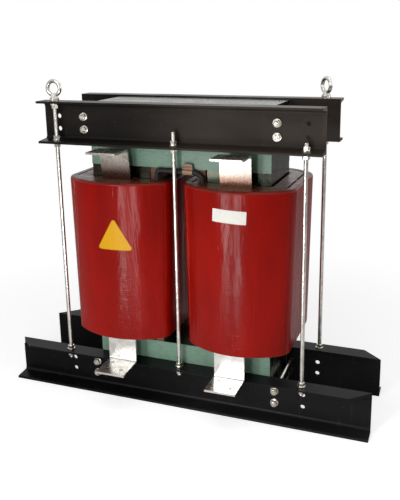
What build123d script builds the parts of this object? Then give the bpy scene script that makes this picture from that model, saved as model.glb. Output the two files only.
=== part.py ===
from build123d import *
import os
from math import asin, cos, radians, sin, sqrt

# Single-phase dry type transformer, in millimetres. X runs along the clamping
# beams, Y from front to back and Z up. The dimensions below are written about
# the middle of the core; the finished pieces are moved in Y so that the origin
# lies on the floor, under the middle of the whole transformer.

# ---------------------------------------------------------------- core
leg_width = 190.0
window_width = 180.0
window_height = 554.0
yoke_height = 184.0
core_depth = 204.0
core_ground_gap = 2.0
yoke_sheet = 3.0

# ---------------------------------------------------------------- clamp beams
channel_height = 126.0
channel_flange = 53.0
channel_web = 5.5
channel_flange_mean = 9.0
channel_taper = 0.1
channel_root_radius = 9.0
channel_toe_radius = 4.0
upper_beam_length = 860.0
lower_beam_length = 1160.0
beam_proud_of_core = 5.0
corner_cut_length = 57.0
corner_cut_left_at_web = 1.0
corner_cut_depth = 22.0

# ---------------------------------------------------------------- fasteners
rod_diameter = 12.0
hole_clearance = 2.0
nut_across_flats = 18.0
nut_height = 10.0
washer_diameter = 24.0
washer_thickness = 2.0
rod_end_break = 1.0
stud_below_nut = 6.5
corner_stud_above_nut = 10.0
middle_stud_above_nut = 25.0
bolt_end_past_nut = 4.0
tie_rod_from_beam_end = 48.0
clamp_bolt_from_core = 17.0
bolt_rows_from_edge = (47.0, 85.0)

# ---------------------------------------------------------------- windings
winding_height = 484.0
winding_lift = 34.0
winding_outer_half_width = 167.0
winding_outer_half_depth = 195.0
winding_front_radius = 230.0
winding_corner_radius = 55.0
winding_draft = 11.0
winding_rim_radius = 8.0
outer_winding_wall = 23.0
duct_width = 6.0
bore_gap_side = 4.0
bore_gap_front = 5.0
bore_corner_radius = 8.0
winding_centre_shift = 1.5
duct_strip_length = 10.0
duct_open_from = 113.0
block_width = 24.0
block_depth = 60.0
block_from_leg = 4.0

# ---------------------------------------------------------------- terminals
bar_width = 92.0
bar_thickness = 6.0
bar_bend_radius = 5.0
bar_seat_depth = 40.0
bar_hole = 11.0
bar_hole_offset = 23.5
bar_hole_first = 22.0
bar_hole_second = 58.0
top_bar_x_left = 182.0
top_bar_x_right = 190.0
top_bar_foot_left = -132.0
top_bar_bend_left = -147.0
top_bar_foot_right = -140.0
top_bar_bend_right = -146.0
top_tab_below_beam = 6.0
top_tab_length = 82.0
bottom_bar_x = 174.0
bottom_bar_y = -162.0
bottom_tab_above_beam = 3.0
bottom_tab_length = 92.0
bottom_left_droop = 3.5
droop_extra_height = 3.5

# ---------------------------------------------------------------- coil links
link_diameter = 14.0
link_y = -114.5
link_left_x = -62.0
link_right_x = 80.0
link_rise = 29.0
link_fall = 16.0
link_bend_radius = 11.0
link_seat_depth = 20.0
link_bend_x = 58.0
lug_x = 36.0
lug_width = 30.0
lug_thickness = 5.0
lug_wall = 1.5
lug_height = 24.0

# ---------------------------------------------------------------- eye nuts
eye_height = 62.0
eye_outer_diameter = 53.0
eye_wire = 11.5
eye_base_diameter = 28.0
eye_base_height = 8.0
eye_neck_diameter = 15.0
eye_neck_height = 13.0
eye_thread_depth = 14.0
back_eye_turn = -45.0

# ---------------------------------------------------------------- levels that follow
core_bottom = core_ground_gap
window_bottom = core_bottom + yoke_height
window_top = window_bottom + window_height
core_top = window_top + yoke_height
core_half_width = window_width / 2 + leg_width
leg_centre = (window_width + leg_width) / 2
web_plane = core_depth / 2 + yoke_sheet
beam_top = core_top + beam_proud_of_core
beam_bottom = beam_top - channel_height
flange_tip = web_plane + channel_flange
tie_rod_y = web_plane + channel_web + (channel_flange - channel_web) / 2 - 3.5
tie_rod_x = upper_beam_length / 2 - tie_rod_from_beam_end
clamp_bolt_x = core_half_width + clamp_bolt_from_core
rod_hole = rod_diameter + hole_clearance
winding_bottom = window_bottom + winding_lift
winding_top = winding_bottom + winding_height
winding_centre = leg_centre + winding_centre_shift
top_tab_level = beam_bottom - top_tab_below_beam
bottom_tab_level = channel_height + bottom_tab_above_beam
depth_shift = (bottom_tab_length - bottom_bar_y - winding_outer_half_depth) / 2


def save(shape, node):
    """Write one node to its STEP file, moved so that the origin is under the middle of the whole."""
    export_step(Pos(0, depth_shift, 0) * shape, f"parts/{node}.step")


def group(solids):
    """Several separate solids that share one node."""
    flat = [piece for solid in solids for piece in solid.solids()]
    return Compound(flat)


def box(x0, x1, y0, y1, z0, z1):
    """A block between two corners."""
    size = Box(x1 - x0, y1 - y0, z1 - z0)
    return Pos((x0 + x1) / 2, (y0 + y1) / 2, (z0 + z1) / 2) * size


def flange_thickness(distance_from_back):
    """Thickness of the tapered flange at a distance from the back of the web."""
    middle = channel_web + (channel_flange - channel_web) / 2
    return channel_flange_mean + (middle - distance_from_back) * channel_taper


# ---------------------------------------------------------------- core
def mitred_leg(side):
    """One core leg, cut at 45 degrees or near it where it meets the yokes."""
    outer = side * core_half_width
    inner = side * window_width / 2
    outline = Polyline(
        (outer, core_bottom), (outer, core_top), (inner, window_top), (inner, window_bottom), close=True
    )
    return extrude(Plane.XZ * make_face(outline), amount=core_depth / 2, both=True)


def mitred_yoke(outer_level, inner_level):
    """One yoke, between the slanting ends of both legs."""
    outline = Polyline(
        (-core_half_width, outer_level),
        (core_half_width, outer_level),
        (window_width / 2, inner_level),
        (-window_width / 2, inner_level),
        close=True,
    )
    return extrude(Plane.XZ * make_face(outline), amount=core_depth / 2, both=True)


def insulation_sheet(side, bottom):
    """The sheet between a yoke and the web of its beam; side is -1 in front."""
    near, far = sorted((side * core_depth / 2, side * web_plane))
    return box(-core_half_width, core_half_width, near, far, bottom, bottom + yoke_height)


# ---------------------------------------------------------------- beams
def channel_bar(length):
    """A rolled channel along X, its web's back on Y = 0 and its flanges towards -Y."""
    half = channel_height / 2
    toe = half - flange_thickness(channel_flange)
    root = half - flange_thickness(channel_web)
    outline = Polyline(
        (0, -half),
        (-channel_flange, -half),
        (-channel_flange, -toe),
        (-channel_web, -root),
        (-channel_web, root),
        (-channel_flange, toe),
        (-channel_flange, half),
        (0, half),
        close=True,
    )
    section = make_face(outline)
    roots = [v for v in section.vertices() if abs(v.X + channel_web) < 0.01]
    section = fillet(roots, channel_root_radius)
    toes = [
        v for v in section.vertices() if abs(v.X + channel_flange) < 0.01 and abs(abs(v.Y) - toe) < 0.01
    ]
    section = fillet(toes, channel_toe_radius)
    return extrude(Plane.YZ * section, amount=length / 2, both=True)


def web_bore(x, z):
    """A drill along Y through the web of the front beam."""
    drill = Cylinder(rod_hole / 2, channel_web * 3)
    return Pos(x, -web_plane - channel_web / 2, z) * Rot(90, 0, 0) * drill


def flange_bore(x, z):
    """A drill along Z through one flange of the front beam."""
    return Pos(x, -tie_rod_y, z) * Cylinder(rod_hole / 2, channel_flange_mean * 3)


def web_holes(levels):
    """Clamp bolt holes beside the core and spare holes in line with the tie rods."""
    columns = (-tie_rod_x, -clamp_bolt_x, clamp_bolt_x, tie_rod_x)
    return [web_bore(x, z) for x in columns for z in levels]


def upper_beam(eye_side):
    """The front upper beam; the rod on eye_side also goes through its top flange."""
    beam = Pos(0, -web_plane, beam_top - channel_height / 2) * channel_bar(upper_beam_length)
    levels = [beam_top - row for row in bolt_rows_from_edge]
    cuts = web_holes(levels)
    cuts += [flange_bore(x, beam_bottom) for x in (-tie_rod_x, 0, tie_rod_x)]
    cuts.append(flange_bore(eye_side * tie_rod_x, beam_top))
    return beam - cuts


def lower_beam():
    """The front lower beam, with the free corners of its top flange cut off."""
    beam = Pos(0, -web_plane, channel_height / 2) * channel_bar(lower_beam_length)
    cuts = web_holes(bolt_rows_from_edge)
    cuts += [flange_bore(x, channel_height) for x in (-tie_rod_x, 0, tie_rod_x)]
    end = lower_beam_length / 2
    past = channel_flange
    start = web_plane + corner_cut_left_at_web
    slope = corner_cut_length / (flange_tip - start)
    for side in (-1, 1):
        outline = Polyline(
            (side * end, -start),
            (side * (end - slope * (flange_tip + past - start)), -flange_tip - past),
            (side * (end + past), -flange_tip - past),
            (side * (end + past), -start),
            close=True,
        )
        wedge = extrude(make_face(outline), amount=channel_height)
        cuts.append(Pos(0, 0, channel_height - corner_cut_depth) * wedge)
    return beam - cuts


# ---------------------------------------------------------------- rods, nuts and washers
def rod(x, y, bottom, top):
    """A vertical tie rod with its two ends broken."""
    body = Cylinder(rod_diameter / 2, top - bottom, align=(Align.CENTER, Align.CENTER, Align.MIN))
    body = chamfer(body.edges().filter_by(GeomType.CIRCLE), rod_end_break)
    return Pos(x, y, bottom) * body


def hex_nut():
    """A hexagon nut standing on Z = 0, its outer corners rounded off."""
    corner_radius = nut_across_flats / sqrt(3)
    blank = extrude(RegularPolygon(corner_radius, 6), amount=nut_height)
    crown = Cylinder(corner_radius, nut_height, align=(Align.CENTER, Align.CENTER, Align.MIN))
    crown = chamfer(crown.edges().filter_by(GeomType.CIRCLE), 1.6, 0.9)
    bore = Cylinder(rod_diameter / 2, nut_height * 3)
    return (blank & crown) - bore


def flat_washer():
    """A plain washer standing on Z = 0."""
    ring = Cylinder(washer_diameter / 2, washer_thickness, align=(Align.CENTER, Align.CENTER, Align.MIN))
    return ring - Cylinder(rod_diameter / 2, washer_thickness * 3)


def taper_washer():
    """A washer on Z = 0 whose far face follows the flange; thick towards +Y here."""
    high = washer_thickness + washer_diameter * channel_taper
    blank = Cylinder(washer_diameter / 2, high * 2, align=(Align.CENTER, Align.CENTER, Align.MAX))
    reach = washer_diameter
    outline = Polyline(
        (-reach, 0),
        (-reach, -washer_thickness - channel_taper * (washer_diameter / 2 - reach)),
        (reach, -washer_thickness - channel_taper * (washer_diameter / 2 + reach)),
        (reach, 0),
        close=True,
    )
    wedge = extrude(Plane.YZ * make_face(outline), amount=reach, both=True)
    return (blank & wedge) - Cylinder(rod_diameter / 2, high * 6)


# How far the inner face of a flange lies from its outer face, at the thin and
# thick side of a washer round a tie rod.
washer_thin_side = flange_thickness(tie_rod_y - web_plane + washer_diameter / 2)
washer_thick_side = washer_thin_side + washer_diameter * channel_taper
inner_seat = washer_thick_side + washer_thickness
outer_seat = washer_thickness


def on_flange(x, front_back, outer_face, inwards):
    """Nut and washers on both faces of a flange whose outer face is at outer_face."""
    y = front_back * tie_rod_y
    turn = 180 if front_back < 0 else 0
    flip = 0 if inwards > 0 else 180
    inside = Pos(x, y, outer_face + inwards * inner_seat)
    outside = Pos(x, y, outer_face - inwards * outer_seat)
    wedge = taper_washer() if inwards > 0 else mirror(taper_washer(), Plane.XY)
    washers = [inside * Rot(0, 0, turn) * wedge]
    nuts = [inside * Rot(flip, 0, 0) * hex_nut()]
    washers.append(Pos(x, y, outer_face) * Rot(180 - flip, 0, 0) * flat_washer())
    nuts.append(outside * Rot(180 - flip, 0, 0) * hex_nut())
    return nuts, washers


def eye_nut():
    """A lifting eye nut standing on Z = 0, its ring in the XZ plane."""
    ring_radius = (eye_outer_diameter - eye_wire) / 2
    ring_height = eye_height - eye_outer_diameter / 2
    ring = Pos(0, 0, ring_height) * Rot(90, 0, 0) * Torus(ring_radius, eye_wire / 2)
    base = Cylinder(eye_base_diameter / 2, eye_base_height, align=(Align.CENTER, Align.CENTER, Align.MIN))
    base = fillet(base.edges().group_by(Axis.Z)[-1], 2)
    neck = Pos(0, 0, eye_base_height) * Cone(
        eye_base_diameter / 2 - 2,
        eye_neck_diameter / 2,
        eye_neck_height,
        align=(Align.CENTER, Align.CENTER, Align.MIN),
    )
    thread = Cylinder(rod_diameter / 2, 2 * eye_thread_depth)
    eye = Pos(0, 0, ring_height) * Rot(90, 0, 0) * Cylinder(ring_radius - eye_wire / 2, eye_wire * 3)
    return (base + (neck - eye) + ring) - thread


# ---------------------------------------------------------------- windings
def winding_outline(half_width, half_depth, front_radius, corner_radius):
    """Plan of a winding: straight sides, bowed front and back, rounded corners."""
    bow_centre = front_radius - half_depth
    corner_x = half_width - corner_radius
    corner_y = bow_centre - sqrt((front_radius - corner_radius) ** 2 - corner_x**2)
    lean = asin(corner_x / (front_radius - corner_radius))
    joint = (front_radius * sin(lean), bow_centre - front_radius * cos(lean))
    half_turn = (lean + radians(90)) / 2
    corner_mid = (corner_x + corner_radius * sin(half_turn), corner_y - corner_radius * cos(half_turn))
    side = (half_width, corner_y)

    def at(point, sx, sy):
        return (sx * point[0], sy * point[1])

    edges = [
        ThreePointArc(at(joint, -1, 1), (0, -half_depth), joint),
        ThreePointArc(joint, corner_mid, side),
        Line(side, at(side, 1, -1)),
        ThreePointArc(at(side, 1, -1), at(corner_mid, 1, -1), at(joint, 1, -1)),
        ThreePointArc(at(joint, 1, -1), (0, half_depth), at(joint, -1, -1)),
        ThreePointArc(at(joint, -1, -1), at(corner_mid, -1, -1), at(side, -1, -1)),
        Line(at(side, -1, -1), at(side, -1, 1)),
        ThreePointArc(at(side, -1, 1), at(corner_mid, -1, 1), at(joint, -1, 1)),
    ]
    return make_face(edges)


def inset_outline(inset):
    """The winding's outer plan moved in on all sides."""
    return winding_outline(
        winding_outer_half_width - inset,
        winding_outer_half_depth - inset,
        winding_front_radius - inset,
        winding_corner_radius - inset,
    )


def outer_winding():
    """The cast outer winding, a little narrower at its foot than at its top."""
    foot = winding_outline(
        winding_outer_half_width - winding_draft,
        winding_outer_half_depth,
        winding_front_radius,
        winding_corner_radius,
    )
    body = loft([foot, Pos(0, 0, winding_height) * inset_outline(0)], ruled=True)
    rim = body.edges().group_by(Axis.Z)[-1]
    body = fillet(rim, winding_rim_radius)
    hollow = extrude(inset_outline(outer_winding_wall), amount=winding_height * 3, both=True)
    return body - hollow


def inner_winding():
    """The inner winding, between the leg and the cooling duct."""
    body = extrude(inset_outline(outer_winding_wall + duct_width), amount=winding_height)
    bore = RectangleRounded(
        leg_width + 2 * bore_gap_side, core_depth + 2 * bore_gap_front, bore_corner_radius
    )
    return body - extrude(bore, amount=winding_height * 3, both=True)


def duct_strips():
    """Upright strips in the duct between both windings."""
    inner = winding_outer_half_depth - outer_winding_wall - duct_width
    side = winding_outer_half_width - outer_winding_wall - duct_width
    ring = extrude(inset_outline(outer_winding_wall), amount=winding_height)
    ring -= extrude(inset_outline(outer_winding_wall + duct_width), amount=winding_height * 3, both=True)
    half = duct_strip_length / 2
    strips = []
    for x in (-side * 0.66, 0, side * 0.66):
        strips += (ring & box(x - half, x + half, inner * 0.5, inner * 1.2, 0, winding_height)).solids()
    for left_right in (-1, 1):
        near, far = sorted((left_right * side * 0.9, left_right * side * 1.2))
        strips += (ring & box(near, far, -half, half, 0, winding_height)).solids()
    return strips


def duct_packing():
    """The packing that closes the duct at the terminal side."""
    ring = extrude(inset_outline(outer_winding_wall), amount=winding_height)
    ring -= extrude(inset_outline(outer_winding_wall + duct_width), amount=winding_height * 3, both=True)
    reach = winding_outer_half_depth
    return ring & box(-reach, reach, -reach, -duct_open_from, 0, winding_height)


def bore_strips():
    """Upright strips that centre the inner winding on its leg, at both leg faces."""
    front = core_depth / 2
    strips = []
    for front_back in (-1, 1):
        near, far = sorted((front_back * front, front_back * (front + bore_gap_front)))
        for x in (-leg_width / 4, leg_width / 4):
            centre = x - winding_centre_shift
            strips.append(box(centre - 6, centre + 6, near, far, 0, winding_height))
    return strips


def support_blocks(bottom, top):
    """Four blocks in the window, between a yoke and the ends of the windings."""
    blocks = []
    for left_right in (-1, 1):
        outer = left_right * (window_width / 2 - block_from_leg)
        inner = outer - left_right * block_width
        for front_back in (-1, 1):
            edge = front_back * web_plane
            x0, x1 = sorted((outer, inner))
            y0, y1 = sorted((edge, edge - front_back * block_depth))
            blocks.append(box(x0, x1, y0, y1, bottom, top))
    return blocks


# ---------------------------------------------------------------- terminal bars
def bent_bar(foot, bend, tab_end):
    """A flat bar bent once, its outer face through three (Y, Z) points."""
    p0, p1, p2 = Vector(*foot), Vector(*bend), Vector(*tab_end)
    first = (p1 - p0).normalized()
    second = (p2 - p1).normalized()
    n0 = Vector(-first.Y, first.X)
    n0 = n0 if n0.dot(second) > 0 else n0 * -1
    n1 = Vector(-second.Y, second.X)
    n1 = n1 if n1.dot(first) < 0 else n1 * -1
    corner = p1 + (n0 + n1) * (bar_thickness / (1 + n0.dot(n1)))
    points = [p0, p1, p2, p2 + n1 * bar_thickness, corner, p0 + n0 * bar_thickness]
    section = make_face(Polyline(*[(p.X, p.Y) for p in points], close=True))
    for target, radius in ((p1, bar_bend_radius + bar_thickness), (corner, bar_bend_radius)):
        nearest = min(section.vertices(), key=lambda v: abs(v.X - target.X) + abs(v.Y - target.Y))
        section = fillet(nearest, radius)
    return extrude(Plane.YZ * section, amount=bar_width / 2, both=True)


def tab_hole(x, y, z, tilt):
    """A drill square to a tab that is tilted about X."""
    return Pos(x, y, z) * Rot(tilt, 0, 0) * Cylinder(bar_hole / 2, bar_thickness * 6)


def top_bar(x, foot_y, bend_y):
    """An upper bar: up out of the winding, then forward under the upper beam."""
    seat = winding_top - bar_seat_depth
    lean = (bend_y - foot_y) / (top_tab_level - winding_top)
    foot = (foot_y - lean * bar_seat_depth, seat)
    bar = bent_bar(foot, (bend_y, top_tab_level), (bend_y - top_tab_length, top_tab_level))
    return Pos(x, 0, 0) * bar


def bottom_bar(x, droop):
    """A lower bar: down out of the winding, then forward above the lower beam."""
    seat = winding_bottom + bar_seat_depth
    tab_level = bottom_tab_level + (droop > 0) * droop_extra_height
    fall = sin(radians(droop)) * bottom_tab_length
    reach = cos(radians(droop)) * bottom_tab_length
    end = (bottom_bar_y - reach, tab_level - fall)
    bar = Pos(x, 0, 0) * bent_bar((bottom_bar_y, seat), (bottom_bar_y, tab_level), end)
    holes = []
    for side, along in ((-1, bar_hole_first), (1, bar_hole_second)):
        y = bottom_bar_y - bar_thickness - along * cos(radians(droop))
        z = tab_level - (bar_thickness + along) * sin(radians(droop))
        holes.append(tab_hole(x + side * bar_hole_offset, y, z, droop))
    return bar - holes


# ---------------------------------------------------------------- link between the windings
def link_cable():
    """The sleeved cable that joins the windings at their tops."""
    seat = winding_top - link_seat_depth
    crown = winding_top + link_rise
    path = FilletPolyline(
        (link_left_x, link_y, seat),
        (link_left_x, link_y, crown),
        (link_bend_x, link_y, crown),
        (link_right_x, link_y, winding_top + link_fall),
        (link_right_x, link_y, seat),
        radius=link_bend_radius,
    )
    profile = Plane(path @ 0, z_dir=path % 0) * Circle(link_diameter / 2)
    return sweep(profile, path)


def link_lug():
    """The bare lug pressed round the cable, its palm standing up."""
    crown = winding_top + link_rise
    barrel = Rot(0, 90, 0) * Cylinder(link_diameter / 2 + lug_wall, lug_width)
    palm = box(-lug_width / 2, lug_width / 2, -lug_thickness / 2, lug_thickness / 2, 0, lug_height)
    palm = fillet(palm.edges().filter_by(Axis.Y).group_by(Axis.Z)[-1], lug_width / 5)
    lug = (barrel + palm) - Rot(0, 90, 0) * Cylinder(link_diameter / 2, lug_width * 2)
    return Pos(lug_x, link_y, crown) * lug


# ================================================================ build
os.makedirs("parts", exist_ok=True)

# Core
save(mitred_leg(-1), "core_leg_left")
save(mitred_leg(1), "core_leg_right")
save(mitred_yoke(core_bottom, window_bottom), "core_yoke_lower")
save(mitred_yoke(core_top, window_top), "core_yoke_upper")
for word, bottom in (("lower", core_bottom), ("upper", window_top)):
    save(insulation_sheet(-1, bottom), f"yoke_sheet_{word}_front")
    save(insulation_sheet(1, bottom), f"yoke_sheet_{word}_back")

# Beams: the back ones are the front ones turned half way round
half_turn = Rot(0, 0, 180)
save(upper_beam(-1), "clamp_channel_upper_front")
save(half_turn * upper_beam(-1), "clamp_channel_upper_back")
save(lower_beam(), "clamp_channel_lower_front")
save(half_turn * lower_beam(), "clamp_channel_lower_back")

# Tie rods with their nuts and washers
rod_bottom = channel_height - inner_seat - nut_height - stud_below_nut
stud_seat = beam_bottom + inner_seat + nut_height
rod_tops = {
    "left": beam_top + washer_thickness + eye_thread_depth - rod_end_break,
    "middle": stud_seat + middle_stud_above_nut,
    "right": stud_seat + corner_stud_above_nut,
}
rod_places = {"left": -tie_rod_x, "middle": 0.0, "right": tie_rod_x}
lower_nuts = []
lower_washers = []
upper_nuts = []
upper_washers = []
for word, x in rod_places.items():
    front_rod = rod(x, -tie_rod_y, rod_bottom, rod_tops[word])
    save(front_rod, f"tie_rod_front_{word}")
    far = {"left": "right", "middle": "middle", "right": "left"}[word]
    save(half_turn * front_rod, f"tie_rod_back_{far}")
    for side in (-1, 1):
        nuts, washers = on_flange(-side * x, side, channel_height, -1)
        lower_nuts += nuts
        lower_washers += washers
        nuts, washers = on_flange(-side * x, side, beam_bottom, 1)
        upper_nuts += nuts
        upper_washers += washers
for side in (-1, 1):
    nuts, washers = on_flange(side * tie_rod_x, side, beam_top, -1)
    upper_nuts.append(nuts[0])
    upper_washers += washers
save(group(lower_nuts), "tie_rod_nuts_lower")
save(group(lower_washers), "tie_rod_washers_lower")
save(group(upper_nuts), "tie_rod_nuts_upper")
save(group(upper_washers), "tie_rod_washers_upper")

# Eye nuts on the two long rods
eye_level = beam_top + washer_thickness
save(Pos(-tie_rod_x, -tie_rod_y, eye_level) * eye_nut(), "eye_nut_front_left")
back_eye = Pos(tie_rod_x, tie_rod_y, eye_level) * Rot(0, 0, back_eye_turn) * eye_nut()
save(back_eye, "eye_nut_back_right")

# Clamp bolts through both beams, beside the core
bolt_seat = web_plane + channel_web
bolt_reach = bolt_seat + washer_thickness + nut_height + bolt_end_past_nut
clamp_nuts = {-1: [], 1: []}
clamp_washers = {-1: [], 1: []}
beam_rows = {
    "lower": list(bolt_rows_from_edge),
    "upper": [beam_top - row for row in bolt_rows_from_edge],
}
for word, rows in beam_rows.items():
    for side_word, x in (("left", -clamp_bolt_x), ("right", clamp_bolt_x)):
        bolts = []
        for z in rows:
            bolt = Cylinder(rod_diameter / 2, 2 * bolt_reach)
            bolt = chamfer(bolt.edges().filter_by(GeomType.CIRCLE), rod_end_break)
            bolts.append(Pos(x, 0, z) * Rot(90, 0, 0) * bolt)
            for side in (-1, 1):
                face = Rot(-90 * side, 0, 0)
                clamp_washers[side].append(Pos(x, side * bolt_seat, z) * face * flat_washer())
                seat = side * (bolt_seat + washer_thickness)
                clamp_nuts[side].append(Pos(x, seat, z) * face * hex_nut())
        save(group(bolts), f"clamp_bolts_{word}_{side_word}")
for word, side in (("front", -1), ("back", 1)):
    save(group(clamp_nuts[side]), f"clamp_nuts_{word}")
    save(group(clamp_washers[side]), f"clamp_washers_{word}")

# Terminal bars and the link, which the windings are moulded round
bars = {
    "upper_left": top_bar(-top_bar_x_left, top_bar_foot_left, top_bar_bend_left),
    "upper_right": top_bar(top_bar_x_right, top_bar_foot_right, top_bar_bend_right),
    "lower_left": bottom_bar(-bottom_bar_x, bottom_left_droop),
    "lower_right": bottom_bar(bottom_bar_x, 0.0),
}
for word, bar in bars.items():
    save(bar, f"terminal_bar_{word}")
cable = link_cable()
save(cable, "coil_link_cable")
save(link_lug(), "coil_link_lug")

# Windings, packing, strips and blocks
outer = outer_winding()
inner = inner_winding()
for word, side in (("left", -1), ("right", 1)):
    place = Pos(side * winding_centre, 0, winding_bottom)
    moulded_in = [bars[f"upper_{word}"], bars[f"lower_{word}"], cable]
    save(place * outer - moulded_in, f"winding_outer_{word}")
    save(place * inner - moulded_in, f"winding_inner_{word}")
    save(place * duct_packing() - moulded_in, f"duct_packing_{word}")
    save(group([place * strip for strip in duct_strips()]), f"duct_strips_{word}")
    leg_place = Pos(side * leg_centre, 0, winding_bottom)
    save(group([leg_place * strip for strip in bore_strips()]), f"bore_strips_{word}")
for word, bottom, top in (
    ("lower", window_bottom, winding_bottom),
    ("upper", winding_top, window_top),
):
    blocks = support_blocks(bottom, top)
    save(group(blocks[:2]), f"support_blocks_{word}_left")
    save(group(blocks[2:]), f"support_blocks_{word}_right")
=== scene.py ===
import math

import bmesh
import bpy
from bpy.props import FloatProperty, FloatVectorProperty, IntProperty, PointerProperty
from bpy.types import Operator, Panel, PropertyGroup
from mathutils import Matrix, Vector
from mathutils.bvhtree import BVHTree


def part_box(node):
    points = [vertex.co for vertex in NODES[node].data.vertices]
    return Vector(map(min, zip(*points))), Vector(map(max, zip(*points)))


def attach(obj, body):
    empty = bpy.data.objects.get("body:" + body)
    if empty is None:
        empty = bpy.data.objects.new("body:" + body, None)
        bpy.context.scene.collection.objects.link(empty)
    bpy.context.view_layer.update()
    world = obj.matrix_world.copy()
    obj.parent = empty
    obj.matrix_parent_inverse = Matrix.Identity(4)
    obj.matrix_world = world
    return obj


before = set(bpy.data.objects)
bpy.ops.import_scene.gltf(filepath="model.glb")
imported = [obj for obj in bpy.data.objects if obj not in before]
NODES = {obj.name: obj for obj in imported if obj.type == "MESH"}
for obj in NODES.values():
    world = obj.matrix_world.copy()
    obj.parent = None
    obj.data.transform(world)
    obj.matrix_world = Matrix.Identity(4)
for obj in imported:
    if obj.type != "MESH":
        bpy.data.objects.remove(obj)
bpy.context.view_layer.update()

bl_info = {
    "name": "Dry type transformer looks",
    "version": (1, 0, 0),
    "blender": (4, 5, 0),
    "location": "View3D > Sidebar > Transformer",
    "description": "Gives a dry type transformer its finishes, stickers, threads and studio",
    "category": "Object",
}

FILM = 0.0006  # thickness of a sticker, in metres
ROD_RADIUS = 0.006


def linear(red, green, blue):
    """A colour given as it looks, in 0 to 255, made ready for a shader."""

    def one(value):
        value /= 255
        return value / 12.92 if value <= 0.04045 else ((value + 0.055) / 1.055) ** 2.4

    return (one(red), one(green), one(blue), 1.0)


# ---------------------------------------------------------------- shader maths
class Sock:
    """A socket in a material that takes part in Python sums."""

    def __init__(self, paint, socket):
        self.paint = paint
        self.socket = socket

    def maths(self, operation, other=None, swapped=False):
        pair = (other, self) if swapped else (self, other)
        values = {i: v for i, v in enumerate(pair) if v is not None}
        return self.paint.node("ShaderNodeMath", {"operation": operation}, values)

    def __add__(self, other):
        return self.maths("ADD", other)

    def __radd__(self, other):
        return self.maths("ADD", other, True)

    def __sub__(self, other):
        return self.maths("SUBTRACT", other)

    def __rsub__(self, other):
        return self.maths("SUBTRACT", other, True)

    def __mul__(self, other):
        return self.maths("MULTIPLY", other)

    def __rmul__(self, other):
        return self.maths("MULTIPLY", other, True)

    def sine(self):
        return self.maths("SINE")

    def largest(self, other):
        return self.maths("MAXIMUM", other)

    def ramp(self, low, high, start=0.0, end=1.0):
        """Start below low, end above high, and smooth between."""
        settings = {"interpolation_type": "SMOOTHSTEP"}
        values = {"Value": self, "From Min": low, "From Max": high, "To Min": start, "To Max": end}
        return self.paint.node("ShaderNodeMapRange", settings, values)


class Paint:
    """A node-based material with one main surface shader."""

    def __init__(self, name):
        self.material = bpy.data.materials.new(name)
        self.material.use_nodes = True
        self.tree = self.material.node_tree
        self.tree.nodes.clear()
        self.place = self.node("ShaderNodeTexCoord", out="Object")

    def node(self, kind, settings=None, values=None, out=0):
        """One node: its settings first, then the values or links of its sockets."""
        made = self.tree.nodes.new(kind)
        for key, value in (settings or {}).items():
            setattr(made, key, value)
        for key, value in (values or {}).items():
            socket = made.inputs[key]
            if isinstance(value, Sock):
                self.tree.links.new(value.socket, socket)
            else:
                socket.default_value = value
        return Sock(self, made.outputs[out])

    def axes(self):
        """The three numbers of the place on the object, in metres."""
        split = self.node("ShaderNodeSeparateXYZ", None, {0: self.place}).socket.node
        return [Sock(self, split.outputs[i]) for i in range(3)]

    def stretched(self, scale, turn=(0, 0, 0)):
        """Places on the object, scaled along each axis."""
        values = {"Vector": self.place, "Scale": scale, "Rotation": turn}
        return self.node("ShaderNodeMapping", None, values)

    def noise(self, scale, detail=3.0, rough=0.5, where=None, twist=0.0):
        """A number from 0 to 1 that wanders over the surface."""
        values = {"Vector": where or self.place, "Scale": scale, "Detail": detail}
        values.update({"Roughness": rough, "Distortion": twist})
        return self.node("ShaderNodeTexNoise", None, values, "Fac")

    def mix(self, amount, first, second, blend="MIX"):
        """One colour over another by an amount."""
        settings = {"data_type": "RGBA", "blend_type": blend, "clamp_factor": True}
        made = self.node("ShaderNodeMix", settings, {0: amount, 6: first, 7: second})
        return Sock(self, made.socket.node.outputs[2])

    def bump(self, height, depth, strength=1.0, under=None):
        """A relief of a height times a depth in metres."""
        values = {"Height": height, "Distance": depth, "Strength": strength}
        if under is not None:
            values["Normal"] = under
        return self.node("ShaderNodeBump", None, values, "Normal")

    def finish(self, **sockets):
        """The main shader and the output."""
        values = {key.replace("_", " "): value for key, value in sockets.items()}
        surface = self.node("ShaderNodeBsdfPrincipled", None, values)
        self.node_output(surface)
        return self.material

    def node_output(self, surface):
        made = self.tree.nodes.new("ShaderNodeOutputMaterial")
        self.tree.links.new(surface.socket, made.inputs["Surface"])


def dress(material, *names):
    """Gives CAD nodes a material in every slot."""
    for name in names:
        slots = NODES[name].data.materials
        if not slots:
            slots.append(material)
        for index in range(len(slots)):
            slots[index] = material


def spread(low, high, shares):
    """A point between the low and high corners of a box, for three shares."""
    return Vector([low[i] + (high[i] - low[i]) * shares[i] for i in range(3)])


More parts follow.
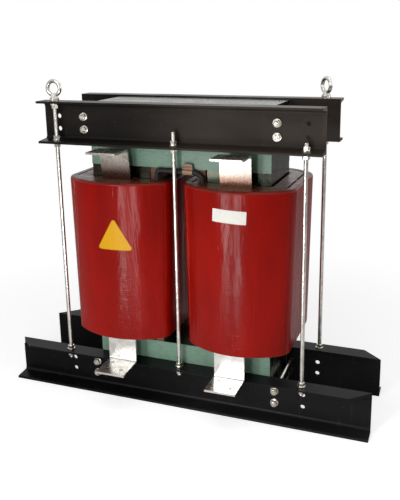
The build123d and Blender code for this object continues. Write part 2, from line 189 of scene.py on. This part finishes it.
# ---------------------------------------------------------------- materials
def resin_outer(name, box, red):
    """Glossy red cast resin, browner and rougher on its flat top and foot."""
    paint = Paint(name)
    low, high = box
    z = paint.axes()[2]
    runs = paint.noise(22, 4, 0.55, paint.stretched((1.0, 1.0, 0.13)), 0.6)
    waves = paint.noise(9, 2, 0.5, paint.stretched((1.0, 1.0, 0.35)))
    ripple = paint.noise(55, 3, 0.6, paint.stretched((1.0, 1.0, 0.45)), 0.5)
    grain = paint.noise(420, 3, 0.6)
    turns = paint.noise(60, 2, 0.5, paint.stretched((0.35, 0.35, 5.0)))
    spots = paint.noise(140, 5, 0.7)
    top = z.ramp(high.z - 0.0016, high.z - 0.0004)
    foot = z.ramp(low.z + 0.0015, low.z + 0.0003)
    lip = z.ramp(high.z - 0.010, high.z - 0.003)
    dark = tuple(c * 0.55 for c in red[:3]) + (1.0,)
    shade = paint.mix(waves.ramp(0.35, 0.7, 0.0, 0.55), red, dark)
    shade = paint.mix(spots.ramp(0.70, 0.78, 0.0, 0.35), shade, linear(60, 10, 6))
    shade = paint.mix(lip * 0.5, shade, linear(96, 34, 20))
    brown = paint.mix(paint.noise(55, 5, 0.65), linear(62, 27, 17), linear(116, 62, 44))
    ends = top.largest(foot)
    shade = paint.mix(ends, shade, brown)
    relief = paint.bump(runs, 0.0034, 0.75)
    relief = paint.bump(ripple, 0.0011, 0.6, relief)
    relief = paint.bump(turns, 0.0012, z.ramp(0.62, 0.42, 0.15, 0.8) * 0.6, relief)
    relief = paint.bump(grain, 0.00010, 0.6, relief)
    gloss = runs.ramp(0.3, 0.7, 0.11, 0.22)
    return paint.finish(
        Base_Color=shade,
        Roughness=gloss + ends * 0.12,
        Specular_IOR_Level=0.16,
        Normal=relief,
    )


def resin_inner(name, tone):
    """Brown varnished resin seen on the top of the inner winding."""
    paint = Paint(name)
    cloud = paint.noise(48, 6, 0.65, twist=0.5)
    weave = paint.noise(260, 3, 0.6)
    dark = tuple(c * 0.35 for c in tone[:3]) + (1.0,)
    shade = paint.mix(cloud.ramp(0.3, 0.7), dark, tone)
    relief = paint.bump(cloud, 0.0012, 0.6)
    relief = paint.bump(weave, 0.0002, 0.6, relief)
    return paint.finish(Base_Color=shade, Roughness=cloud.ramp(0.3, 0.8, 0.22, 0.5), Normal=relief)


def core_steel(name):
    """Stacked sheet steel: thin lines across the edges, plain on the outer sheet."""
    paint = Paint(name)
    packs = paint.noise(1, 2, 0.8, paint.stretched((0.4, 900, 0.4)))
    wide = paint.noise(1, 1, 0.5, paint.stretched((1.5, 160, 1.5)))
    varnish = paint.noise(11, 4, 0.6, twist=0.4)
    rust = paint.noise(38, 5, 0.7)
    steel = paint.mix(packs, linear(38, 38, 33), linear(98, 96, 82))
    steel = paint.mix(wide.ramp(0.45, 0.62, 0.0, 0.55), steel, linear(44, 47, 42))
    steel = paint.mix(varnish.ramp(0.46, 0.58, 0.0, 0.75), steel, linear(58, 66, 54))
    steel = paint.mix(rust.ramp(0.62, 0.75, 0.0, 0.5), steel, linear(104, 70, 50))
    relief = paint.bump(packs, 0.00035, 0.5)
    return paint.finish(
        Base_Color=steel,
        Metallic=varnish.ramp(0.4, 0.7, 1.0, 0.8),
        Roughness=varnish.ramp(0.35, 0.7, 0.16, 0.3),
        Normal=relief,
    )


def insulation_sheet(name, green):
    """Pale green laminate with faint fibres and upright varnish stains."""
    paint = Paint(name)
    fibres = paint.noise(160, 4, 0.6, paint.stretched((0.3, 1.0, 2.0)))
    stains = paint.noise(16, 3, 0.5, paint.stretched((1.0, 1.0, 0.18)))
    pale = paint.mix(0.16, green, linear(190, 205, 190))
    grey = linear(98, 104, 92)
    shade = paint.mix(fibres.ramp(0.35, 0.65), green, pale)
    shade = paint.mix(stains.ramp(0.54, 0.74, 0.0, 0.4), shade, grey)
    relief = paint.bump(fibres, 0.00015, 0.5)
    return paint.finish(Base_Color=shade, Roughness=fibres.ramp(0.3, 0.7, 0.32, 0.48), Normal=relief)


def beam_paint(name, colour, dust_and_sheen_colour, dust):
    """Black paint over rolled steel, a little scuffed and dusty, with a painted reflection that lightens
    it towards +X.
    """
    paint = Paint(name)
    peel = paint.noise(380, 2, 0.5)
    mill = paint.noise(26, 3, 0.5, paint.stretched((0.25, 1.0, 1.0)))
    cloud = paint.noise(5.5, 4, 0.6, paint.stretched((0.5, 1.0, 1.2)), 0.4)
    specks = paint.noise(240, 2, 0.5)
    streaks = paint.noise(60, 4, 0.6, paint.stretched((1.0, 1.0, 0.2)))
    # The dust amount and its colour stand both for dust and for a painted brownish sheen; the ramp along
    # X is painted reflection, lighter towards +X.
    painted_sheen_towards_x = paint.axes()[0].ramp(-0.16, 0.12, 0.25, 1.0)
    shade = paint.mix(cloud.ramp(0.3, 0.75, dust * 0.55, dust) * painted_sheen_towards_x, colour, dust_and_sheen_colour)
    shade = paint.mix(streaks.ramp(0.6, 0.8, 0.0, 0.10), shade, linear(120, 112, 104))
    shade = paint.mix(specks.ramp(0.73, 0.78, 0.0, 0.5), shade, linear(140, 132, 124))
    relief = paint.bump(mill, 0.0007, 0.35)
    relief = paint.bump(peel, 0.00012, 0.5, relief)
    return paint.finish(
        Base_Color=shade,
        Roughness=cloud.ramp(0.3, 0.7, 0.26, 0.42),
        Specular_IOR_Level=0.09,
        Normal=relief,
    )


def bright_metal(name, pale, dark, rough, grain, stretch=(1.0, 1.0, 1.0), painted_low_shade=None):
    """Bare or plated metal with a grain, tarnish, scratches and perhaps painted shade low down."""
    paint = Paint(name)
    lines = paint.noise(grain, 4, 0.65, paint.stretched(stretch))
    tarnish = paint.noise(42, 4, 0.6, twist=0.6)
    nicks = paint.noise(180, 5, 0.75)
    shade = paint.mix(tarnish.ramp(0.35, 0.72), pale, dark)
    shade = paint.mix(nicks.ramp(0.66, 0.74, 0.0, 0.4), shade, linear(92, 86, 78))
    # Painted shade: a given colour low down that fades up into the plain metal above a given height.
    if painted_low_shade:
        colour, low, high = painted_low_shade
        wander = 0.03
        height = paint.axes()[2] + tarnish * wander
        shade = paint.mix(height.ramp(high + wander / 2, low + wander / 2), shade, colour)
    relief = paint.bump(lines, 0.00018, 0.5)
    return paint.finish(
        Base_Color=shade,
        Metallic=1.0,
        Roughness=lines.ramp(0.3, 0.7, rough * 0.75, rough * 1.25),
        Normal=relief,
    )


def dull_board(name, pale, dark, layers):
    """Pressed board or laminate with layers seen edge on."""
    paint = Paint(name)
    bands = paint.noise(1, 2, 0.6, paint.stretched((6, 6, layers)))
    cloud = paint.noise(70, 4, 0.6)
    shade = paint.mix(bands.ramp(0.35, 0.65), pale, dark)
    shade = paint.mix(cloud.ramp(0.45, 0.75, 0.0, 0.5), shade, dark)
    relief = paint.bump(bands, 0.0003, 0.5)
    return paint.finish(Base_Color=shade, Roughness=cloud.ramp(0.3, 0.7, 0.5, 0.68), Normal=relief)


def sleeve(name):
    """Black woven sleeve on the lead."""
    paint = Paint(name)
    across, _, up = paint.axes()
    threads = 2600
    braid = ((across + up) * threads).sine() * ((across - up) * threads).sine()
    worn = paint.noise(90, 3, 0.6)
    shade = paint.mix(worn.ramp(0.4, 0.8), linear(8, 8, 8), linear(26, 24, 23))
    relief = paint.bump(braid, 0.0004, 0.6)
    return paint.finish(Base_Color=shade, Roughness=worn.ramp(0.3, 0.7, 0.32, 0.5), Normal=relief)


def sticker_film(name, colour):
    """Plain glossy sticker film, a little dusty."""
    paint = Paint(name)
    dust = paint.noise(120, 4, 0.6)
    ripple = paint.noise(45, 2, 0.5)
    dull = tuple(c * 0.82 for c in colour[:3]) + (1.0,)
    shade = paint.mix(dust.ramp(0.5, 0.8, 0.0, 0.6), colour, dull)
    relief = paint.bump(ripple, 0.0003, 0.4)
    return paint.finish(
        Base_Color=shade, Roughness=dust.ramp(0.3, 0.7, 0.36, 0.5), Specular_IOR_Level=0.2, Normal=relief
    )


# ---------------------------------------------------------------- settings
class WindingSettings(PropertyGroup):
    """The look of the windings and what is stuck on them."""

    red: FloatVectorProperty(
        name="Resin", description="Colour of the outer windings", subtype="COLOR", size=4,
        min=0, max=1, default=linear(146, 12, 3),
    )
    brown: FloatVectorProperty(
        name="Inner resin", description="Colour of the inner windings", subtype="COLOR", size=4,
        min=0, max=1, default=linear(96, 50, 36),
    )
    triangle_side: FloatProperty(
        name="Triangle side", description="Length of the sides of the plain triangle",
        unit="LENGTH", min=0.02, max=0.3, default=0.112,
    )
    plate_width: FloatProperty(
        name="Plate width", description="Width of the plain white sticker", unit="LENGTH",
        min=0.02, max=0.3, default=0.0975,
    )
    plate_height: FloatProperty(
        name="Plate height", description="Height of the plain white sticker", unit="LENGTH",
        min=0.01, max=0.2, default=0.037,
    )


class SteelSettings(PropertyGroup):
    """The look of the core, the beams and what clamps them."""

    paint_colour: FloatVectorProperty(
        name="Beam paint", description="Colour of the painted beams", subtype="COLOR", size=4,
        min=0, max=1, default=linear(5, 5, 6),
    )
    sheet_green: FloatVectorProperty(
        name="Insulation", description="Colour of the insulation sheets", subtype="COLOR", size=4,
        min=0, max=1, default=linear(98, 134, 114),
    )
    thread_pitch: FloatProperty(
        name="Thread pitch", description="Distance from one turn of thread to the next",
        unit="LENGTH", min=0.0005, max=0.01, default=0.00175,
    )
    thread_depth: FloatProperty(
        name="Thread ridge", description="Thickness of the ridge that stands for the thread",
        unit="LENGTH", min=0.0001, max=0.002, default=0.00062,
    )
    thread_sides: IntProperty(
        name="Thread steps", description="Steps in one turn of the thread", min=8, max=48, default=16,
    )


class StageSettings(PropertyGroup):
    """The floor, the lamps and the camera."""

    key_power: FloatProperty(
        name="Key lamp", description="Power of the main soft lamp", min=0, max=500, default=21.0,
    )
    strip_power: FloatProperty(
        name="Strip lamps", description="Power of the narrow lamps that streak the windings", min=0,
        max=100, default=3.0,
    )
    fill_power: FloatProperty(
        name="Fill lamp", description="Power of the wide lamp overhead", min=0, max=500, default=24.0,
    )
    surround: FloatProperty(
        name="Surround", description="Strength of the light from all round", min=0, max=2, default=0.22,
    )
    lens: FloatProperty(
        name="Lens", description="Focal length of the camera in millimetres", min=10, max=200,
        default=48.33,
    )


# ---------------------------------------------------------------- operators
class TRANSFORMER_OT_windings(Operator):
    """Finish the cast windings, their packing and strips"""

    bl_idname = "transformer.windings"
    bl_label = "Windings"

    def execute(self, context):
        look = context.scene.transformer_windings
        inner = resin_inner("inner_resin", tuple(look.brown))
        packing = resin_inner("duct_packing", linear(84, 40, 28))
        strips = dull_board("spacer_strips", linear(150, 132, 96), linear(98, 80, 56), 40)
        for side in ("left", "right"):
            node = f"winding_outer_{side}"
            dress(resin_outer(f"outer_resin_{side}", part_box(node), tuple(look.red)), node)
            dress(inner, f"winding_inner_{side}")
            dress(packing, f"duct_packing_{side}")
            dress(strips, f"duct_strips_{side}", f"bore_strips_{side}")
        return {"FINISHED"}


class TRANSFORMER_OT_core(Operator):
    """Finish the core, the insulation sheets and the support blocks"""

    bl_idname = "transformer.core"
    bl_label = "Core"

    def execute(self, context):
        look = context.scene.transformer_steel
        steel = core_steel("laminated_steel")
        dress(steel, "core_leg_left", "core_leg_right", "core_yoke_lower", "core_yoke_upper")
        green = insulation_sheet("green_laminate", tuple(look.sheet_green))
        block = dull_board("brown_block", linear(122, 78, 52), linear(78, 44, 30), 300)
        for level in ("lower", "upper"):
            dress(green, f"yoke_sheet_{level}_front", f"yoke_sheet_{level}_back")
            dress(block, f"support_blocks_{level}_left", f"support_blocks_{level}_right")
        return {"FINISHED"}


class TRANSFORMER_OT_beams(Operator):
    """Paint the four channel beams"""

    bl_idname = "transformer.beams"
    bl_label = "Beams"

    def execute(self, context):
        colour = tuple(context.scene.transformer_steel.paint_colour)
        # The upper beams get more of a brownish colour than the lower ones; it stands for dust and for a
        # painted reflection on their webs.
        upper = beam_paint("upper_beam_paint", colour, linear(82, 72, 64), 0.6)
        lower = beam_paint("lower_beam_paint", colour, linear(58, 58, 58), 0.3)
        dress(upper, "clamp_channel_upper_front", "clamp_channel_upper_back")
        dress(lower, "clamp_channel_lower_front", "clamp_channel_lower_back")
        return {"FINISHED"}


class TRANSFORMER_OT_fasteners(Operator):
    """Finish the rods, bolts, nuts, washers and eye nuts"""

    bl_idname = "transformer.fasteners"
    bl_label = "Fasteners"

    def execute(self, context):
        rods = bright_metal(
            "plated_rod", linear(240, 238, 232), linear(202, 198, 188), 0.22, 300, (1.0, 1.0, 6.0)
        )
        nuts = bright_metal("plated_nut", linear(228, 225, 216), linear(184, 178, 164), 0.22, 240)
        forged = bright_metal("plated_eye", linear(214, 212, 206), linear(158, 154, 146), 0.2, 160)
        for side in ("front", "back"):
            for place in ("left", "middle", "right"):
                dress(rods, f"tie_rod_{side}_{place}")
            dress(nuts, f"clamp_nuts_{side}", f"clamp_washers_{side}")
        for level in ("lower", "upper"):
            dress(nuts, f"tie_rod_nuts_{level}", f"tie_rod_washers_{level}")
            dress(rods, f"clamp_bolts_{level}_left", f"clamp_bolts_{level}_right")
        dress(forged, "eye_nut_front_left", "eye_nut_back_right")
        return {"FINISHED"}


class TRANSFORMER_OT_terminals(Operator):
    """Finish the terminal bars, the lead and its lug"""

    bl_idname = "transformer.terminals"
    bl_label = "Terminals"

    def execute(self, context):
        bars = bright_metal(
            "rolled_bar", linear(240, 239, 235), linear(212, 209, 203), 0.24, 150, (4.0, 1.0, 1.0)
        )
        low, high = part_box("terminal_bar_upper_left")
        # The upper bars take a darker, shaded copy of the rolled bar. Their lower plate carries painted
        # shade, warm as a painted reflection of the red resin, up to just under the bright tab.
        painted_low_shade = (linear(96, 66, 54), spread(low, high, (0, 0, 0.35)).z, high.z - 0.012)
        shaded_bars = bright_metal(
            "shaded_bar", linear(214, 209, 200), linear(164, 154, 142), 0.28, 150, (4.0, 1.0, 1.0), painted_low_shade
        )
        dress(bars, "terminal_bar_lower_left", "terminal_bar_lower_right")
        dress(shaded_bars, "terminal_bar_upper_left", "terminal_bar_upper_right")
        dress(sleeve("black_sleeve"), "coil_link_cable")
        dress(dull_board("taped_lug", linear(168, 134, 104), linear(112, 84, 62), 260), "coil_link_lug")
        return {"FINISHED"}


def surface_probe(node):
    """Finds the front face of a CAD node at a place across and a height."""
    tree = BVHTree.FromObject(NODES[node], bpy.context.evaluated_depsgraph_get())
    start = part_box(node)[0].y - 0.1

    def at(across, height):
        hit = tree.ray_cast(Vector((across, start, height)), Vector((0, 1, 0)))
        return hit[0].y

    return at


def laid_on(name, node, outline, material):
    """A thin film cut to an outline of (across, height) points and laid on a node."""
    probe = surface_probe(node)
    sheet = bmesh.new()
    sheet.faces.new([sheet.verts.new((x, 0, z)) for x, z in outline])
    low = min(x for x, z in outline)
    high = max(x for x, z in outline)
    cuts = 24
    for step in range(1, cuts):
        across = low + (high - low) * step / cuts
        everything = sheet.verts[:] + sheet.edges[:] + sheet.faces[:]
        bmesh.ops.bisect_plane(sheet, geom=everything, plane_co=(across, 0, 0), plane_no=(1, 0, 0))
    front = sheet.faces[:]
    bmesh.ops.recalc_face_normals(sheet, faces=front)
    made = bmesh.ops.extrude_face_region(sheet, geom=front)
    lifted = {v for v in made["geom"] if isinstance(v, bmesh.types.BMVert)}
    for vert in sheet.verts:
        face = probe(vert.co.x, vert.co.z)
        vert.co.y = face - (FILM if vert in lifted else -FILM / 4)
    bmesh.ops.recalc_face_normals(sheet, faces=sheet.faces[:])
    mesh = bpy.data.meshes.new(name)
    sheet.to_mesh(mesh)
    sheet.free()
    mesh.materials.append(material)
    film = bpy.data.objects.new(name, mesh)
    bpy.context.collection.objects.link(film)
    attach(film, "root")
    return film


def rounded(corners, radius, steps=5):
    """A closed outline with each of its corners rounded."""
    points = []
    count = len(corners)
    for index in range(count):
        here = Vector(corners[index])
        before = (Vector(corners[index - 1]) - here).normalized()
        after = (Vector(corners[(index + 1) % count]) - here).normalized()
        half = before.angle(after) / 2
        reach = radius / math.tan(half)
        centre = here + (before + after).normalized() * (radius / math.sin(half))
        first = here + before * reach - centre
        last = here + after * reach - centre
        for step in range(steps + 1):
            mixed = first.lerp(last, step / steps).normalized() * radius
            points.append(tuple(centre + mixed))
    return points


class TRANSFORMER_OT_stickers(Operator):
    """Lay a plain triangle on the left winding and a plain plate on the right one"""

    bl_idname = "transformer.stickers"
    bl_label = "Stickers"

    def execute(self, context):
        look = context.scene.transformer_windings
        triangle_shift, triangle_drop, triangle_corner = 0.017, 0.168, 0.006
        plate_shift, plate_drop, plate_corner = -0.001, 0.071, 0.0015
        plate_tilt = math.radians(-2.5)
        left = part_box("winding_outer_left")
        middle = spread(*left, (0.5, 0.5, 0.5))
        side = look.triangle_side
        centre = (middle.x + triangle_shift, left[1].z - triangle_drop)
        rise = side * math.sqrt(3) / 2
        corners = [
            (centre[0] - side / 2, centre[1] - rise / 3),
            (centre[0] + side / 2, centre[1] - rise / 3),
            (centre[0], centre[1] + rise * 2 / 3),
        ]
        yellow = sticker_film("yellow_film", linear(212, 156, 12))
        laid_on("sticker_triangle", "winding_outer_left", rounded(corners, triangle_corner), yellow)
        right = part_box("winding_outer_right")
        middle = spread(*right, (0.5, 0.5, 0.5))
        turn = Matrix.Rotation(plate_tilt, 2)
        half = Vector((look.plate_width / 2, look.plate_height / 2))
        centre = Vector((middle.x + plate_shift, right[1].z - plate_drop))
        corners = []
        for across, up in ((-1, -1), (1, -1), (1, 1), (-1, 1)):
            corners.append(tuple(centre + turn @ Vector((half.x * across, half.y * up))))
        white = sticker_film("white_film", linear(232, 230, 222))
        laid_on("sticker_plate", "winding_outer_right", rounded(corners, plate_corner), white)
        return {"FINISHED"}


# ---------------------------------------------------------------- threads
def socket_of(tree, name):
    """The identifier of a tree's input with a given name."""
    for item in tree.interface.items_tree:
        if item.item_type == "SOCKET" and item.in_out == "INPUT" and item.name == name:
            return item.identifier
    raise KeyError(name)


def thread_tree():
    """A tree that stands a helical ridge on every point of a mesh."""
    tree = bpy.data.node_groups.new("thread_on_points", "GeometryNodeTree")
    sockets = (
        ("Geometry", "NodeSocketGeometry"),
        ("Radius", "NodeSocketFloat"),
        ("Length", "NodeSocketFloat"),
        ("Pitch", "NodeSocketFloat"),
        ("Ridge", "NodeSocketFloat"),
        ("Steps", "NodeSocketInt"),
        ("Turn", "NodeSocketVector"),
        ("Material", "NodeSocketMaterial"),
    )
    for name, kind in sockets:
        tree.interface.new_socket(name, in_out="INPUT", socket_type=kind)
    tree.interface.new_socket("Geometry", in_out="OUTPUT", socket_type="NodeSocketGeometry")
    new, link = tree.nodes.new, tree.links.new
    given = new("NodeGroupInput").outputs
    turns = new("ShaderNodeMath")
    turns.operation = "DIVIDE"
    link(given["Length"], turns.inputs[0])
    link(given["Pitch"], turns.inputs[1])
    spiral = new("GeometryNodeCurveSpiral")
    link(given["Steps"], spiral.inputs["Resolution"])
    link(turns.outputs[0], spiral.inputs["Rotations"])
    link(given["Radius"], spiral.inputs["Start Radius"])
    link(given["Radius"], spiral.inputs["End Radius"])
    link(given["Length"], spiral.inputs["Height"])
    ridge = new("GeometryNodeCurvePrimitiveCircle")
    ridge.inputs["Resolution"].default_value = 4
    link(given["Ridge"], ridge.inputs["Radius"])
    sweep = new("GeometryNodeCurveToMesh")
    link(spiral.outputs["Curve"], sweep.inputs["Curve"])
    link(ridge.outputs["Curve"], sweep.inputs["Profile Curve"])
    sweep.inputs["Fill Caps"].default_value = True
    turn = new("FunctionNodeEulerToRotation")
    link(given["Turn"], turn.inputs[0])
    stand = new("GeometryNodeInstanceOnPoints")
    link(given["Geometry"], stand.inputs["Points"])
    link(sweep.outputs["Mesh"], stand.inputs["Instance"])
    link(turn.outputs[0], stand.inputs["Rotation"])
    real = new("GeometryNodeRealizeInstances")
    link(stand.outputs["Instances"], real.inputs["Geometry"])
    coat = new("GeometryNodeSetMaterial")
    link(real.outputs["Geometry"], coat.inputs["Geometry"])
    link(given["Material"], coat.inputs["Material"])
    link(coat.outputs["Geometry"], new("NodeGroupOutput").inputs["Geometry"])
    return tree


def threads_at(name, tree, points, length, turn, look, material):
    """One piece of thread ridges, standing on points and turned one way."""
    mesh = bpy.data.meshes.new(name + "_points")
    mesh.from_pydata([tuple(p) for p in points], [], [])
    holder = bpy.data.objects.new(name + "_points", mesh)
    bpy.context.collection.objects.link(holder)
    modifier = holder.modifiers.new("Thread", "NODES")
    modifier.node_group = tree
    values = {
        "Radius": ROD_RADIUS - look.thread_depth * 0.35,
        "Length": length,
        "Pitch": look.thread_pitch,
        "Ridge": look.thread_depth,
        "Steps": look.thread_sides,
        "Turn": turn,
        "Material": material,
    }
    for key, value in values.items():
        modifier[socket_of(tree, key)] = value
    bpy.context.view_layer.update()
    depsgraph = bpy.context.evaluated_depsgraph_get()
    made = bpy.data.meshes.new_from_object(holder.evaluated_get(depsgraph))
    made.name = name
    bpy.data.objects.remove(holder)
    piece = bpy.data.objects.new(name, made)
    bpy.context.collection.objects.link(piece)
    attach(piece, "root")
    return piece


class TRANSFORMER_OT_threads(Operator):
    """Cut threads on the ends of the rods and bolts that can be seen"""

    bl_idname = "transformer.threads"
    bl_label = "Threads"

    def execute(self, context):
        look = context.scene.transformer_steel
        zinc = NODES["tie_rod_front_left"].data.materials[0]
        tree = thread_tree()
        margin = 0.0012
        nut_stack = 0.0347  # from the foot of the nut under a flange to the top of the one over it
        bolt_end = 0.004
        names = [f"tie_rod_{s}_{p}" for s in ("front", "back") for p in ("left", "middle", "right")]
        boxes = {n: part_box(n) for n in names}
        axis = {n: spread(*boxes[n], (0.5, 0.5, 0.0)) for n in names}
        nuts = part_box("tie_rod_nuts_lower")
        foot = nuts[0].z - boxes[names[0]][0].z - margin
        lower = [axis[n] + Vector((0, 0, margin)) for n in names]
        threads_at("thread_rod_feet", tree, lower, foot, (0, 0, 0), look, zinc)
        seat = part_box("tie_rod_nuts_upper")[0].z + nut_stack
        for kind, members in (
            ("middle", ("tie_rod_front_middle", "tie_rod_back_middle")),
            ("corner", ("tie_rod_front_right", "tie_rod_back_left")),
        ):
            top = boxes[members[0]][1].z
            length = top - seat - margin
            points = [Vector((axis[n].x, axis[n].y, seat)) for n in members]
            threads_at(f"thread_rod_{kind}", tree, points, length, (0, 0, 0), look, zinc)
        for word, way in (("front", -1), ("back", 1)):
            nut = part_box(f"clamp_nuts_{word}")
            face = nut[0].y if way < 0 else nut[1].y
            points = []
            for level in ("lower", "upper"):
                for side in ("left", "right"):
                    low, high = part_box(f"clamp_bolts_{level}_{side}")
                    for z in (low.z + ROD_RADIUS, high.z - ROD_RADIUS):
                        points.append(Vector(((low.x + high.x) / 2, face, z)))
            turn = (math.radians(90 * -way), 0, 0)
            threads_at(f"thread_bolts_{word}", tree, points, bolt_end - margin, turn, look, zinc)
        return {"FINISHED"}


# ---------------------------------------------------------------- stage
class TRANSFORMER_OT_stage(Operator):
    """Set the floor, the soft lamps and the camera"""

    bl_idname = "transformer.stage"
    bl_label = "Stage"

    def execute(self, context):
        look = context.scene.transformer_stage
        self.lay_floor(context)
        self.light_world(context, look.surround)
        # name, power, place, target, width, height
        lamps = (
            ("Key", look.key_power, (-0.9, -2.95, 1.5), (0.0, 0.0, 0.45), 0.8, 1.6),
            ("Strip left", look.strip_power, (-0.25, -1.12, 0.33), (-0.185, -0.165, 0.36), 0.10, 0.62),
            ("Strip right", look.strip_power, (0.12, -1.12, 0.33), (0.185, -0.165, 0.36), 0.09, 0.62),
            ("Fill", look.fill_power, (0.3, -0.6, 3.2), (0.0, 0.0, 0.4), 2.4, 2.4),
            ("Side", look.fill_power * 0.5, (2.7, 0.2, 1.4), (0.0, 0.0, 0.5), 1.4, 1.8),
        )
        for name, power, place, target, width, height in lamps:
            data = bpy.data.lights.new(name, "AREA")
            data.shape = "RECTANGLE"
            data.size = width
            data.size_y = height
            data.energy = power
            lamp = bpy.data.objects.new(name, data)
            lamp.location = place
            lamp.visible_camera = False
            lamp.rotation_euler = (Vector(target) - Vector(place)).to_track_quat("-Z", "Y").to_euler()
            context.collection.objects.link(lamp)
        self.place_camera(context, look.lens)
        context.scene.view_settings.view_transform = "Standard"
        return {"FINISHED"}

    def lay_floor(self, context):
        """A wide pale floor that shows nearly white and keeps its shadows."""
        sheet = bmesh.new()
        bmesh.ops.create_circle(sheet, cap_ends=True, segments=96, radius=9.0)
        mesh = bpy.data.meshes.new("floor")
        sheet.to_mesh(mesh)
        sheet.free()
        floor = bpy.data.objects.new("floor", mesh)
        floor.location.z = -0.0002
        context.collection.objects.link(floor)
        paint = Paint("pale_floor")
        dull = paint.node("ShaderNodeBsdfDiffuse", None, {"Color": (0.80, 0.80, 0.80, 1.0)})
        glow = paint.node("ShaderNodeEmission", None, {"Color": (1, 1, 1, 1), "Strength": 0.58})
        both = paint.node("ShaderNodeAddShader", None, {0: dull, 1: glow})
        seen = paint.node("ShaderNodeLightPath", out="Is Camera Ray")
        white = paint.node("ShaderNodeEmission", None, {"Color": (1, 1, 1, 1), "Strength": 1.0})
        away = paint.node("ShaderNodeVectorMath", {"operation": "LENGTH"}, {0: paint.place}, "Value")
        spent = paint.node("ShaderNodeMixShader", None, {0: away.ramp(0.75, 1.6), 1: both, 2: white})
        mixed = paint.node("ShaderNodeMixShader", None, {0: seen, 1: dull, 2: spent})
        paint.node_output(mixed)
        mesh.materials.append(paint.material)

    def light_world(self, context, strength):
        """An even surround, white where it is looked at or mirrored."""
        world = bpy.data.worlds.new("studio")
        context.scene.world = world
        world.use_nodes = True
        tree = world.node_tree
        tree.nodes.clear()
        path = tree.nodes.new("ShaderNodeLightPath")
        last = path.outputs["Is Camera Ray"]
        for kind in ("Is Glossy Ray", "Is Transmission Ray"):
            seen = tree.nodes.new("ShaderNodeMath")
            seen.operation = "MAXIMUM"
            tree.links.new(last, seen.inputs[0])
            tree.links.new(path.outputs[kind], seen.inputs[1])
            last = seen.outputs[0]
        level = tree.nodes.new("ShaderNodeMapRange")
        tree.links.new(last, level.inputs["Value"])
        level.inputs["To Min"].default_value = strength
        level.inputs["To Max"].default_value = 1.0
        glow = tree.nodes.new("ShaderNodeBackground")
        glow.inputs["Color"].default_value = (1.0, 1.0, 1.0, 1.0)
        tree.links.new(level.outputs[0], glow.inputs["Strength"])
        out = tree.nodes.new("ShaderNodeOutputWorld")
        tree.links.new(glow.outputs[0], out.inputs["Surface"])

    def place_camera(self, context, lens):
        """A camera in front, a little to the right and above."""
        data = bpy.data.cameras.new("Camera")
        data.lens = lens
        data.sensor_width = 36.0
        data.shift_x = -0.0298
        data.shift_y = -0.0990
        camera = bpy.data.objects.new("Camera", data)
        turn = Matrix.Rotation(math.radians(20.04), 4, "Z")
        turn = turn @ Matrix.Rotation(math.radians(90 - 13.90), 4, "X")
        turn = turn @ Matrix.Rotation(math.radians(-0.714), 4, "Z")
        camera.matrix_world = Matrix.Translation((0.7541, -1.8312, 1.1153)) @ turn
        context.collection.objects.link(camera)
        context.scene.camera = camera


class TRANSFORMER_PT_looks(Panel):
    """Lists the steps in the sidebar"""

    bl_label = "Transformer"
    bl_space_type = "VIEW_3D"
    bl_region_type = "UI"
    bl_category = "Transformer"

    def draw(self, context):
        for step in STEPS:
            self.layout.operator(step.bl_idname)
        for name in ("transformer_windings", "transformer_steel", "transformer_stage"):
            group = getattr(context.scene, name)
            for key in group.__annotations__:
                self.layout.prop(group, key)


STEPS = (
    TRANSFORMER_OT_windings,
    TRANSFORMER_OT_core,
    TRANSFORMER_OT_beams,
    TRANSFORMER_OT_fasteners,
    TRANSFORMER_OT_terminals,
    TRANSFORMER_OT_stickers,
    TRANSFORMER_OT_threads,
    TRANSFORMER_OT_stage,
)
GROUPS = {
    "transformer_windings": WindingSettings,
    "transformer_steel": SteelSettings,
    "transformer_stage": StageSettings,
}


def register():
    """Adds the settings, the steps and the panel."""
    for name, group in GROUPS.items():
        bpy.utils.register_class(group)
        setattr(bpy.types.Scene, name, PointerProperty(type=group))
    for step in (*STEPS, TRANSFORMER_PT_looks):
        bpy.utils.register_class(step)


def unregister():
    """Takes away what register added."""
    for step in reversed((*STEPS, TRANSFORMER_PT_looks)):
        bpy.utils.unregister_class(step)
    for name, group in reversed(GROUPS.items()):
        delattr(bpy.types.Scene, name)
        bpy.utils.unregister_class(group)


def main():
    """Runs every step in order."""
    register()
    for step in STEPS:
        area, name = step.bl_idname.split(".")
        getattr(getattr(bpy.ops, area), name)()


if __name__ == "__main__":
    main()
